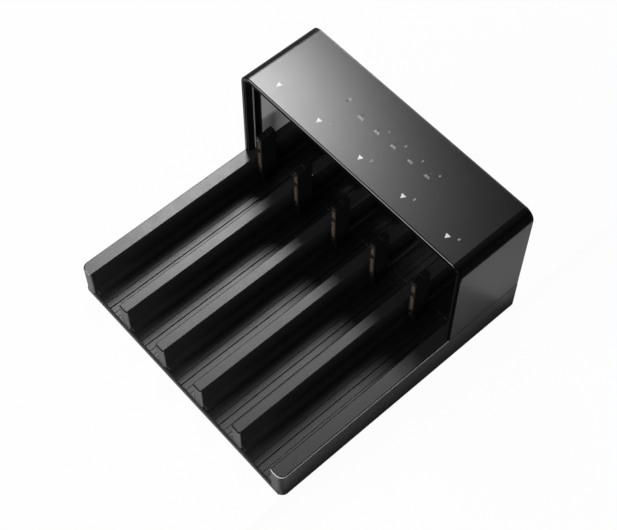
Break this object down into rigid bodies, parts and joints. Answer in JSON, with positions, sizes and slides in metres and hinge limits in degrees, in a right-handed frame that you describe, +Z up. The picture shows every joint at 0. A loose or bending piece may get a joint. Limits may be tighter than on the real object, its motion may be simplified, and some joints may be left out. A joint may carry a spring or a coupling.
{
  "type": "drive duplicator",
  "caption": "Open drive duplicator: a ribbed bay tray with upright drive sockets under a rounded hood with indicator lights and arrow marks.",
  "frame": {"origin": "middle of the footprint, on the table under the feet", "axes": "+Z up, +Y from the open bays to the rear panel, +X to the right seen from the open bays"},
  "size_m": [0.2154, 0.2206, 0.1218],
  "materials": {
    "satin_black_plastic": "satin moulded black, smooth",
    "gloss_black_plastic": "smooth semi-gloss black",
    "inner_black_plastic": "fine matt texture",
    "foot_rubber": "matt",
    "screw_steel": "zinc plated",
    "circuit_board": "solder mask",
    "chip_plastic": "matt moulded",
    "sink_aluminium": "satin",
    "connector_plastic": "moulded, slight sheen",
    "ribbon_plastic": "flat film",
    "contact_metal": "plated",
    "peg_metal": "nickel plated",
    "lamp_lens": "clear white, smooth",
    "control_plastic": "smooth black"
  },
  "bodies": {
    "root": {"base_screws": "screw_steel", "bay_tray": "satin_black_plastic", "board_header": "connector_plastic", "board_ribbon": "ribbon_plastic", "board_shelf": "inner_black_plastic", "bottom_cover": "satin_black_plastic", "capacitors": "sink_aluminium", "connector_post_1": "connector_plastic", "connector_post_2": "connector_plastic", "connector_post_3": "connector_plastic", "connector_post_4": "connector_plastic", "connector_post_5": "connector_plastic", "controller_chip": "chip_plastic", "drive_socket_1": "connector_plastic", "drive_socket_2": "connector_plastic", "drive_socket_3": "connector_plastic", "drive_socket_4": "connector_plastic", "drive_socket_5": "connector_plastic", "guide_pegs": "peg_metal", "heat_sink": "sink_aluminium", "hood_frame": "gloss_black_plastic", "hood_screws": "screw_steel", "hood_shell": "gloss_black_plastic", "jack_pin": "contact_metal", "lamp_board": "circuit_board", "lamp_board_screws": "screw_steel", "lamps": "lamp_lens", "left_liner": "inner_black_plastic", "light_pipes": "lamp_lens", "link_board": "circuit_board", "main_board": "circuit_board", "main_board_screws": "screw_steel", "memory_chips": "chip_plastic", "panel_screws": "screw_steel", "power_jack": "connector_plastic", "rear_deck": "satin_black_plastic", "rear_panel": "inner_black_plastic", "ribbon_seat": "connector_plastic", "right_liner": "inner_black_plastic", "riser_board_1": "circuit_board", "riser_board_2": "circuit_board", "riser_board_3": "circuit_board", "riser_board_4": "circuit_board", "riser_board_5": "circuit_board", "rubber_feet": "foot_rubber", "socket_contacts_1": "contact_metal", "socket_contacts_2": "contact_metal", "socket_contacts_3": "contact_metal", "socket_contacts_4": "contact_metal", "socket_contacts_5": "contact_metal", "start_switch": "connector_plastic", "switch_blades": "contact_metal", "switch_frame": "connector_plastic", "usb_port": "peg_metal", "usb_tongue": "connector_plastic"},
    "power_rocker_body": {"power_rocker": "control_plastic"},
    "start_button_body": {"start_button": "control_plastic", "switch_plunger": "control_plastic"}
  },
  "joints": [
    {"name": "power_rocker_tilt", "type": "hinge", "parent": "root", "child": "power_rocker_body", "pos_m": [-0.077, 0.10295, 0.1081], "axis": [0, 0, 1], "range_deg": [0, 16]},
    {"name": "start_button_press", "type": "slide", "parent": "root", "child": "start_button_body", "axis": [0, -1, 0], "range_m": [0, 0.0008], "stiffness_N_per_m": 800, "springref_m": -0.0006}
  ]
}
